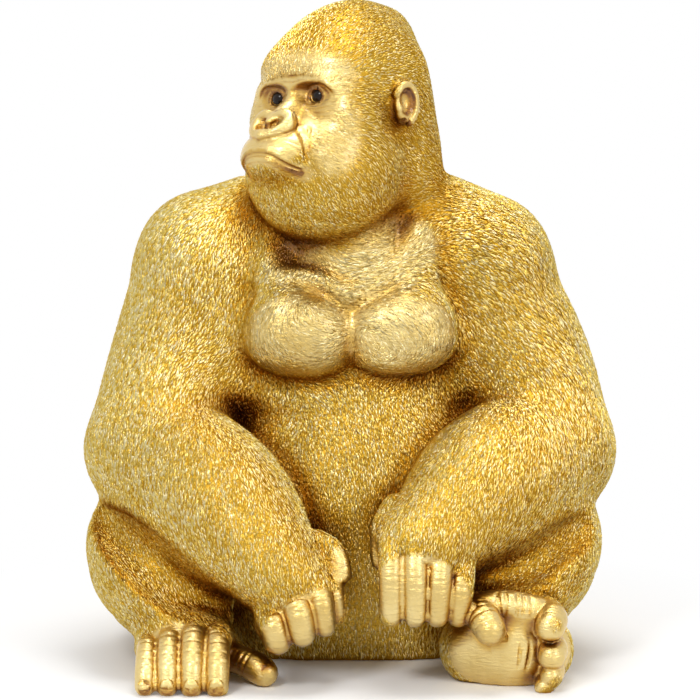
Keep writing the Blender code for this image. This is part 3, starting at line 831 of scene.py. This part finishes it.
def skin(clay, place):
    """The body's surface as one closed mesh in millimetres.

    At each point it says how bare it is, how much it is combed, and how much painted shade it gets, from how
    deep in a recess it lies and how far it looks down.
    """
    low = np.min([s[2] for s in clay.steps if s[0] > 0], axis=0)
    high = np.max([s[3] for s in clay.steps if s[0] > 0], axis=0)
    low[2] = -2.5 * GRID_STEP  # just under the ground, where the form is cut off flat
    axes = [np.arange(lo, hi + GRID_STEP, GRID_STEP) for lo, hi in zip(low, high)]
    field = clay.read(axes)
    fill_pinches(field)
    mesh = as_mesh("gorilla_skin", *surface(field, axes))
    bare = bare_zones(place)
    refined(mesh, fine_zones(place), bare, FINE_CUTS)
    details(clay, place)
    points = settled(clay, vectors(mesh, "co"))
    points[:, 2] = np.maximum(points[:, 2], 0)
    mesh.vertices.foreach_set("co", points.ravel())
    bare = np.clip(0.5 - bare.at(points) / BARE_EDGE, 0, 1)
    combed = np.clip(0.5 - combed_zones(place).at(points) / COMBED_EDGE, 0, 1) * (1 - bare)
    keep(mesh, "bare", bare)
    keep(mesh, "combed", combed)
    mesh.polygons.foreach_set("use_smooth", [True] * len(mesh.polygons))
    mesh.update()
    keep(mesh, "shade_amount", shade_amount(clay, points, vectors(mesh, "normal")))
    return mesh


def both_sides(x, y, z, across, back, up):
    """A place of the coat and its way, there and mirrored on the other side."""
    return [(x, y, z, across, back, up), (-x, y, z, -across, back, up)]


def lie_on_head():
    """Rows of a place and of the way that the fur lies there, on the head in its own frame."""
    return [
        (0, -44, 36, 0, 0.3, 1), (0, -20, 66, 0, 1, 0.5),
        (0, 20, 72, 0, 1, 0), (0, 60, 40, 0, 0.4, -1),
        *both_sides(38, -22, 40, 0.4, 0.8, 0.5),
        *both_sides(44, -22, 8, 0.2, 1, -0.3),
        *both_sides(42, 10, 40, 0.1, 1, 0),
        *both_sides(46, 20, -5, 0.1, 0.8, -0.8),
        *both_sides(36, -46, -16, 0.7, 0.5, -0.6),
        (0, -64, -42, 0, 0, -1),
        *both_sides(28, -54, -40, 0.4, 0.2, -1),
        (40, -20, -45, 0.3, 0.5, -1), (0, -45, -66, 0, 0.8, -0.6),
    ]


def lie_on_chest():
    """Which way it lies on the nape, the throat and round the pads of the chest."""
    return [
        (30, 60, 280, 0.2, 0.3, -1), (-20, 70, 270, -0.1, 0.4, -1),
        (-38, -34, 246, -0.3, -0.2, -0.9), (-20, -42, 238, 0.7, -0.3, -0.5),
        (5, -46, 234, 1, 0, -0.05), (26, -40, 242, 0.9, 0.1, 0.4),
        (40, -30, 256, 0.6, 0.1, 0.8), (0, -62, 222, 0.9, 0, -0.1),
        (-24, -50, 228, -0.8, 0.1, 0.3), (24, -50, 230, 0.8, 0.1, 0.45),
        (-42, -56, 212, -0.5, 0, -0.9), (-56, -48, 196, -0.1, 0, -1),
        (-46, -58, 180, 0.7, 0, -0.7), (-28, -62, 174, 1, 0, -0.15),
        (-10, -60, 184, 0.7, 0, 0.4), (-28, -66, 198, 0.9, 0, -0.4),
        (46, -56, 214, 0.6, 0, -0.8), (58, -48, 196, 0.1, 0, -1),
        (48, -58, 180, -0.7, 0, -0.7), (30, -62, 174, -1, 0, -0.1),
        (10, -60, 184, -0.6, 0, 0.6), (30, -66, 198, 0.7, 0, -0.6),
    ]


def lie_on_arms():
    """Which way it lies on the shoulders and the arms."""
    return [
        (-90, -10, 262, -0.7, -0.2, -0.6), (88, -10, 262, 0.9, -0.2, -0.35),
        (-120, -18, 210, -0.35, -0.2, -0.9), (118, -18, 205, 0.75, -0.2, -0.6),
        (-82, -30, 180, -0.6, -0.2, -0.6), (82, -28, 180, 0.6, -0.2, -0.7),
        (-60, -30, 225, -0.3, -0.2, -0.9), (64, -26, 225, 0.8, -0.1, -0.5),
        *both_sides(-140, -40, 130, 0, -0.3, -1),
        (-90, -90, 110, 0.05, -0.2, -1), (88, -90, 120, -0.3, -0.2, -1),
        (-50, -115, 85, 0.1, -0.3, -1), (60, -110, 100, -0.25, -0.3, -1),
        (-110, -80, 85, 0.5, -0.3, -0.9), (115, -75, 95, -0.5, -0.3, -0.9),
    ]


def lie_below():
    """Which way it lies on the belly, the legs and the back."""
    return [
        (0, -60, 160, 0.25, -0.2, -1), (-45, -50, 150, -0.35, -0.2, -1),
        (45, -50, 150, 0.4, -0.2, -1), (0, -66, 90, 0.05, 0, -1),
        (0, -55, 20, 0, 0, -1),
        *both_sides(-140, -50, 60, 0.3, -0.3, -1),
        (-120, -80, 30, 0.5, -0.4, -0.8), (115, -80, 60, -0.5, -0.4, -0.8),
        *both_sides(-130, 40, 200, -0.2, 0.5, -0.9),
        (0, 120, 200, 0, 0, -1),
        *both_sides(-80, 100, 100, -0.2, 0, -1),
        (0, 134, 60, 0, 0, -1),
        *both_sides(-110, 20, 60, -0.5, -0.6, -0.5),
    ]


def lie_of_coat(place):
    """Which way the fur lies: a place and a direction for each part of the coat."""
    turn = place.to_3x3()
    coat = [(np.array(place @ Vector(row[:3])), np.array(turn @ Vector(row[3:]))) for row in lie_on_head()]
    body = lie_on_chest() + lie_on_arms() + lie_below()
    return coat + [(np.array(row[:3], float), np.array(row[3:], float)) for row in body]


def lies(points, normals, coat, chance):
    """The way each stroke lies on the surface, with a little chance in it."""
    softness, falloff, scale, wander = 60, 1.6, 1e5, 0.14
    total = np.zeros_like(points)
    for at, way in coat:
        near = ((points - at) ** 2).sum(axis=1) + softness
        total += (way / np.linalg.norm(way)) / near[:, None] ** falloff * scale
    total /= np.linalg.norm(total, axis=1, keepdims=True)
    total += chance.normal(0, wander, points.shape)
    total -= (total * normals).sum(axis=1, keepdims=True) * normals
    return total / np.maximum(np.linalg.norm(total, axis=1, keepdims=True), 1e-6)


def scattered(mesh, weight, chance, spacing):
    """Points spread evenly over the skin where the weight is high enough, clear of the floor.

    Returned with their normals, weights and amount of painted shade.
    """
    clear_of_floor, tries = 0.6, 5
    mesh.calc_loop_triangles()
    corners = np.zeros(len(mesh.loop_triangles) * 3, np.int32)
    mesh.loop_triangles.foreach_get("vertices", corners)
    corners = corners.reshape(-1, 3)
    points = vectors(mesh, "co")
    a, b, c = (points[corners[:, i]] for i in range(3))
    area = np.linalg.norm(np.cross(b - a, c - a), axis=1) / 2
    area *= weight[corners].mean(axis=1) > LEAST_WEIGHT
    area *= points[corners][:, :, 2].min(axis=1) > clear_of_floor
    count = int(area.sum() / spacing**2 * tries)
    corners = corners[chance.choice(len(area), count, p=area / area.sum())]
    share = chance.dirichlet((1, 1, 1), count)
    at = (points[corners] * share[:, :, None]).sum(axis=1)
    _, kept = np.unique(np.floor(at / spacing), axis=0, return_index=True)
    kept.sort()
    corners, share = corners[kept], share[kept]
    facing = (vectors(mesh, "normal")[corners] * share[:, :, None]).sum(axis=1)
    facing /= np.linalg.norm(facing, axis=1, keepdims=True)
    others = [(values[corners] * share).sum(axis=1) for values in (weight, attribute(mesh, "shade_amount"))]
    return at[kept], facing, *others


def slivers(at, normals, ways, size, form, chance):
    """The four corners of each stroke, at shares of its length and width: its ends, one edge, its crest."""
    long, wide, high, sink = form
    length = (long * size * chance.uniform(0.75, 1.25, len(at)))[:, None]
    width = (wide * size)[:, None]
    height = (high * size)[:, None]
    side = np.cross(normals, ways)
    bend = side * chance.normal(0, 0.05, len(at))[:, None] * length
    sunk = -normals * sink
    root = at - 0.5 * length * ways + sunk + bend - 0.2 * width * side
    tip = at + 0.5 * length * ways + sunk + bend - 0.2 * width * side
    foot = at + 0.05 * length * ways + 0.6 * width * side + sunk
    crest = at + 0.12 * length * ways - 0.4 * width * side + height * normals
    return np.stack([root, foot, tip, crest], axis=1)


def strokes(name, lot, form, hidden, chance):
    """One mesh of carved strokes: each a closed sliver, sunk along one side and crested along the other."""
    points = slivers(*lot, form, chance)
    above = points[:, :, 2].min(axis=1) > 0
    points = points[above].reshape(-1, 3)
    count = int(above.sum())
    pattern = np.array([(0, 3, 1), (1, 3, 2), (2, 3, 0), (0, 1, 2)])
    faces = (pattern[None] + 4 * np.arange(count)[:, None, None]).reshape(-1, 3)
    mesh = bpy.data.meshes.new(name)
    mesh.vertices.add(len(points))
    mesh.vertices.foreach_set("co", (points * MM).ravel())
    mesh.loops.add(faces.size)
    mesh.loops.foreach_set("vertex_index", faces.ravel())
    mesh.polygons.add(len(faces))
    mesh.polygons.foreach_set("loop_start", np.arange(0, faces.size, 3))
    mesh.update(calc_edges=True)
    keep(mesh, "tone", np.repeat(chance.uniform(0, 1, count), 4))
    keep(mesh, "shade_amount", np.repeat(hidden[above], 4))
    return mesh


def material_with(name):
    material = bpy.data.materials.new(name)
    material.use_nodes = True
    nodes = material.node_tree.nodes
    return material, nodes, material.node_tree.links, nodes["Principled BSDF"]


def ramp_node(nodes, stops):
    ramp = nodes.new("ShaderNodeValToRGB")
    elements = ramp.color_ramp.elements
    while len(elements) < len(stops):
        elements.new(0.5)
    for element, (at, color) in zip(elements, stops):
        element.position = at
        element.color = (*color, 1)
    return ramp


def noise_node(nodes, links, scale, detail):
    """Noise read in the figure's own frame, with this many features to the metre."""
    where = nodes.new("ShaderNodeTexCoord")
    noise = nodes.new("ShaderNodeTexNoise")
    noise.inputs["Scale"].default_value = scale
    noise.inputs["Detail"].default_value = detail
    noise.inputs["Roughness"].default_value = 0.6
    links.new(where.outputs["Object"], noise.inputs["Vector"])
    return noise


def mixed(nodes, links, first, second, share=None):
    """The second colour laid over the first by this share, or without a share, the two multiplied."""
    mix = nodes.new("ShaderNodeMix")
    mix.data_type = "RGBA"
    if share is None:
        mix.blend_type = "MULTIPLY"
        mix.inputs["Factor"].default_value = 1
    else:
        links.new(share, mix.inputs["Factor"])
    links.new(first, mix.inputs["A"])
    links.new(second, mix.inputs["B"])
    return mix.outputs["Result"]


def value_of(nodes, name):
    reader = nodes.new("ShaderNodeAttribute")
    reader.attribute_name = name
    return reader.outputs["Fac"]


def with_painted_shade(nodes, links, color):
    """The colour, going to amber and then to brown in the recesses and under forms: painted shade."""
    shade_ramp = ramp_node(nodes, PAINTED_SHADE)
    links.new(value_of(nodes, "shade_amount"), shade_ramp.inputs["Fac"])
    return mixed(nodes, links, color, shade_ramp.outputs["Color"])


def lacquer(shader):
    """Metallic paint, golden at its edges too, under a thin clear coat."""
    shader.inputs["Metallic"].default_value = 0.95
    shader.inputs["Roughness"].default_value = LACQUER_ROUGHNESS
    shader.inputs["Specular Tint"].default_value = (1, 0.82, 0.42, 1)
    shader.inputs["Coat Roughness"].default_value = 0.2


def skin_gold():
    """Lacquer on the skin: bright and smooth where bare, and under the fur a darker gold that is painted
    shade between the strokes.
    """
    material, nodes, links, shader = material_with("skin_gold")
    cloud = noise_node(nodes, links, 22, 4)
    bright = ramp_node(nodes, [(0.3, (0.60, 0.40, 0.09)), (0.7, (0.80, 0.63, 0.26))])
    # Under the fur: a darker gold, painted shade in the gaps between the strokes.
    fur_gap_shade = ramp_node(nodes, [(0.3, (0.38, 0.20, 0.012)), (0.7, (0.54, 0.32, 0.03))])
    links.new(cloud.outputs["Fac"], bright.inputs["Fac"])
    links.new(cloud.outputs["Fac"], fur_gap_shade.inputs["Fac"])
    smooth = nodes.new("ShaderNodeMath")
    smooth.use_clamp = True
    links.new(value_of(nodes, "bare"), smooth.inputs[0])
    links.new(value_of(nodes, "combed"), smooth.inputs[1])
    color = mixed(nodes, links, fur_gap_shade.outputs["Color"], bright.outputs["Color"], smooth.outputs["Value"])
    # The colour is darkened in recesses and on faces that look down: painted shade.
    links.new(with_painted_shade(nodes, links, color), shader.inputs["Base Color"])
    lacquer(shader)
    links.new(smooth.outputs["Value"], shader.inputs["Coat Weight"])
    links.new(wrinkles(nodes, links), shader.inputs["Normal"])
    return material


def wrinkles(nodes, links):
    """Fine folds that lie across, as on old skin, over a finer grain."""
    normal = None
    for scale, stretch, depth in ((150, 4.5, 0.0016), (900, 1, 0.0004)):
        where = nodes.new("ShaderNodeTexCoord")
        mapping = nodes.new("ShaderNodeMapping")
        mapping.inputs["Scale"].default_value = (1, 1, stretch)
        grain = nodes.new("ShaderNodeTexNoise")
        grain.inputs["Scale"].default_value = scale
        grain.inputs["Detail"].default_value = 3
        grain.inputs["Distortion"].default_value = 0.6
        bump = nodes.new("ShaderNodeBump")
        bump.inputs["Strength"].default_value = 0.5
        bump.inputs["Distance"].default_value = depth
        links.new(where.outputs["Object"], mapping.inputs["Vector"])
        links.new(mapping.outputs["Vector"], grain.inputs["Vector"])
        links.new(grain.outputs["Fac"], bump.inputs["Height"])
        if normal:
            links.new(normal, bump.inputs["Normal"])
        normal = bump.outputs["Normal"]
    return normal


def stroke_gold(name, tones, coat):
    """Lacquer on carved strokes, each with a tone of its own."""
    material, nodes, links, shader = material_with(name)
    light = ramp_node(nodes, tones)
    links.new(value_of(nodes, "tone"), light.inputs["Fac"])
    cloud = noise_node(nodes, links, 14, 3)
    shade = ramp_node(nodes, [(0.3, (0.88, 0.84, 0.72)), (0.65, (1, 1, 1))])
    links.new(cloud.outputs["Fac"], shade.inputs["Fac"])
    color = mixed(nodes, links, light.outputs["Color"], shade.outputs["Color"])
    # The strokes are darkened in recesses and on faces that look down: painted shade.
    links.new(with_painted_shade(nodes, links, color), shader.inputs["Base Color"])
    lacquer(shader)
    shader.inputs["Coat Weight"].default_value = coat
    return material


def fur_gold():
    tones = [(0, (0.70, 0.43, 0.03)), (0.5, (0.94, 0.72, 0.18)), (1, (1, 0.90, 0.56))]
    return stroke_gold("fur_gold", tones, 0.25)


def strand_gold():
    tones = [(0, (0.62, 0.40, 0.06)), (0.5, (0.90, 0.72, 0.27)), (1, (1, 0.91, 0.58))]
    return stroke_gold("strand_gold", tones, 0.9)


def eye_gloss():
    material, nodes, links, shader = material_with("eye_gloss")
    cloud = noise_node(nodes, links, 300, 2)
    brown = ramp_node(nodes, [(0.3, (0.006, 0.004, 0.003)), (0.75, (0.03, 0.014, 0.008))])
    links.new(cloud.outputs["Fac"], brown.inputs["Fac"])
    links.new(brown.outputs["Color"], shader.inputs["Base Color"])
    shader.inputs["Roughness"].default_value = 0.08
    shader.inputs["Specular IOR Level"].default_value = 0.22
    return material


def added(name, data):
    """An object of the scene with this mesh, lamp or camera."""
    thing = bpy.data.objects.new(name, data)
    bpy.context.scene.collection.objects.link(thing)
    return thing


def shown(name, mesh, material):
    """One piece of the figure, riding on its only body."""
    mesh.materials.append(material)
    piece = added(name, mesh)
    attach(piece, "root")
    return piece


def eyes():
    """A polished bead in place of each eye of the frame, at its place and size."""
    gloss = eye_gloss()
    for node in ("left_eye", "right_eye"):
        low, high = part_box(node)
        ball = bmesh.new()
        radius = (high.z - low.z) / 2
        where = Matrix.Translation((low + high) / 2)
        bmesh.ops.create_icosphere(ball, subdivisions=4, radius=radius, matrix=where)
        mesh = bpy.data.meshes.new(f"{node}_bead")
        ball.to_mesh(mesh)
        ball.free()
        mesh.polygons.foreach_set("use_smooth", [True] * len(mesh.polygons))
        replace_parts(shown(f"{node}_bead", mesh, gloss), node)


def attribute(mesh, name):
    values = np.zeros(len(mesh.vertices))
    mesh.attributes[name].data.foreach_get("value", values)
    return values


def fur(mesh, place):
    """The coat, in one piece for the head and one for each quarter of the body."""
    chance = np.random.default_rng(SEED)
    furry = np.clip(1 - attribute(mesh, "bare") - attribute(mesh, "combed"), 0, 1)
    at, normals, furry, hidden = scattered(mesh, furry, chance, STROKE_SPACING)
    coat = lie_of_coat(place)
    ways = lies(at, normals, coat, chance)
    head_low, head_half, middle_x, middle_y = 262, 62, 0, 20
    near_head = (at[:, 2] > head_low) & (np.abs(at[:, 0] - HEAD_CENTRE[0]) < head_half)
    on_head, on_legs, on_arms = 0.72, 0.8, 1.05
    fineness = np.where(near_head, on_head, np.interp(at[:, 2], (90, 170), (on_legs, on_arms)))
    size = chance.uniform(0.75, 1.2, len(at)) * (0.5 + 0.5 * furry) * fineness
    right = at[:, 0] > middle_x
    back = at[:, 1] > middle_y
    gold = fur_gold()
    parts = {"fur_head": near_head}
    for end, half in (("front", ~back), ("back", back)):
        for side, quarter in (("left", ~right), ("right", right)):
            parts[f"fur_{end}_{side}"] = ~near_head & half & quarter
    form = (STROKE_LENGTH, STROKE_WIDTH, STROKE_HEIGHT, STROKE_SINK)
    for name, part in parts.items():
        lot = (at[part], normals[part], ways[part], size[part])
        shown(name, strokes(name, lot, form, hidden[part], chance), gold)
    strands(mesh, coat, chance)


def strands(mesh, coat, chance):
    """The long strands over the throat and the chest, and shorter ones round the face."""
    at, normals, weight, hidden = scattered(mesh, attribute(mesh, "combed"), chance, STRAND_SPACING)
    ways = lies(at, normals, coat, chance)
    size = chance.uniform(0.6, 1.2, len(at)) * (0.5 + 0.5 * weight)
    gold = strand_gold()
    face = at[:, 2] > FACE_FLOOR
    throat = (at[:, 2] > THROAT_FLOOR) & ~face
    on_face = 0.62
    size = np.where(face, on_face * size, size)
    kinds = {
        "face_strands": (face, FACE_STRAND_HEIGHT),
        "throat_strands": (throat, THROAT_STRAND_HEIGHT),
        "chest_strands": (~face & ~throat, PAD_STRAND_HEIGHT),
    }
    for name, (part, height) in kinds.items():
        form = (STRAND_LENGTH, STRAND_WIDTH, height, STRAND_SINK)
        lot = (at[part], normals[part], ways[part], size[part])
        shown(name, strokes(name, lot, form, hidden[part], chance), gold)


def body():
    place = head_place()
    clay = sculpt(place)
    mesh = skin(clay, place)
    fur(mesh, place)
    mesh.transform(Matrix.Scale(MM, 4))
    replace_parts(shown("gorilla_skin", mesh, skin_gold()), "gorilla_body")


def floor():
    """A pale round floor that fades into the white around it."""
    reach, fade_start, fade_end = 6, 0.14, 0.32
    disc = bmesh.new()
    bmesh.ops.create_circle(disc, cap_ends=True, segments=96, radius=reach)
    mesh = bpy.data.meshes.new("floor")
    disc.to_mesh(mesh)
    disc.free()
    material, nodes, links, shader = material_with("floor_pale")
    shader.inputs["Base Color"].default_value = (0.96, 0.96, 0.96, 1)
    shader.inputs["Roughness"].default_value = 0.7
    white = nodes.new("ShaderNodeEmission")
    where = nodes.new("ShaderNodeTexCoord")
    far = nodes.new("ShaderNodeVectorMath")
    far.operation = "LENGTH"
    fade = nodes.new("ShaderNodeMapRange")
    fade.inputs["From Min"].default_value = fade_start
    fade.inputs["From Max"].default_value = fade_end
    mix = nodes.new("ShaderNodeMixShader")
    links.new(where.outputs["Object"], far.inputs[0])
    links.new(far.outputs["Value"], fade.inputs["Value"])
    links.new(fade.outputs["Result"], mix.inputs["Fac"])
    links.new(shader.outputs["BSDF"], mix.inputs[1])
    links.new(white.outputs["Emission"], mix.inputs[2])
    links.new(mix.outputs["Shader"], nodes["Material Output"].inputs["Surface"])
    mesh.materials.append(material)
    added("floor", mesh)


def world():
    """White to the camera and in reflections, softer as light on matte surfaces."""
    on_matte, seen_white = 0.55, 1
    scene = bpy.context.scene
    scene.world = bpy.data.worlds.new("studio")
    scene.world.use_nodes = True
    nodes = scene.world.node_tree.nodes
    links = scene.world.node_tree.links
    path = nodes.new("ShaderNodeLightPath")
    seen = path.outputs["Is Camera Ray"]
    for kind in ("Is Glossy Ray", "Is Transmission Ray"):
        larger = nodes.new("ShaderNodeMath")
        larger.operation = "MAXIMUM"
        links.new(seen, larger.inputs[0])
        links.new(path.outputs[kind], larger.inputs[1])
        seen = larger.outputs["Value"]
    level = nodes.new("ShaderNodeMapRange")
    level.inputs["To Min"].default_value = on_matte
    level.inputs["To Max"].default_value = seen_white
    links.new(seen, level.inputs["Value"])
    nodes["Background"].inputs["Color"].default_value = (1, 1, 1, 1)
    links.new(level.outputs["Result"], nodes["Background"].inputs["Strength"])


def lamp(name, at, width, power):
    aim = (0, 0, 0.2)
    light = bpy.data.lights.new(name, "AREA")
    light.energy = power
    light.size = width
    shape = added(name, light)
    shape.location = at
    shape.rotation_euler = (Vector(aim) - Vector(at)).to_track_quat("-Z", "Y").to_euler()


def lights():
    """Square lamps, each with its place, width and power, aimed at the middle of the figure."""
    lamp("key", (-0.6, -1.2, 1.3), 0.42, 10)
    lamp("fill", (0.9, -1.1, 0.8), 0.5, 5)
    lamp("top", (0.1, 0.1, 1.5), 0.6, 9)


def camera():
    """The photograph's view: from the front and a little above."""
    aim_height, distance, lens, degrees_above = 0.181, 1.6, 135.9, 7
    tilt = math.radians(degrees_above)
    view = bpy.data.cameras.new("camera")
    view.lens = lens
    shape = added("camera", view)
    back = Vector((0, -math.cos(tilt), math.sin(tilt)))
    shape.location = Vector((0, 0, aim_height)) + distance * back
    shape.rotation_euler = (-back).to_track_quat("-Z", "Y").to_euler()
    bpy.context.scene.camera = shape


def main():
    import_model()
    camera()
    body()
    eyes()
    floor()
    world()
    lights()
    bpy.context.scene.view_settings.view_transform = "Standard"


main()
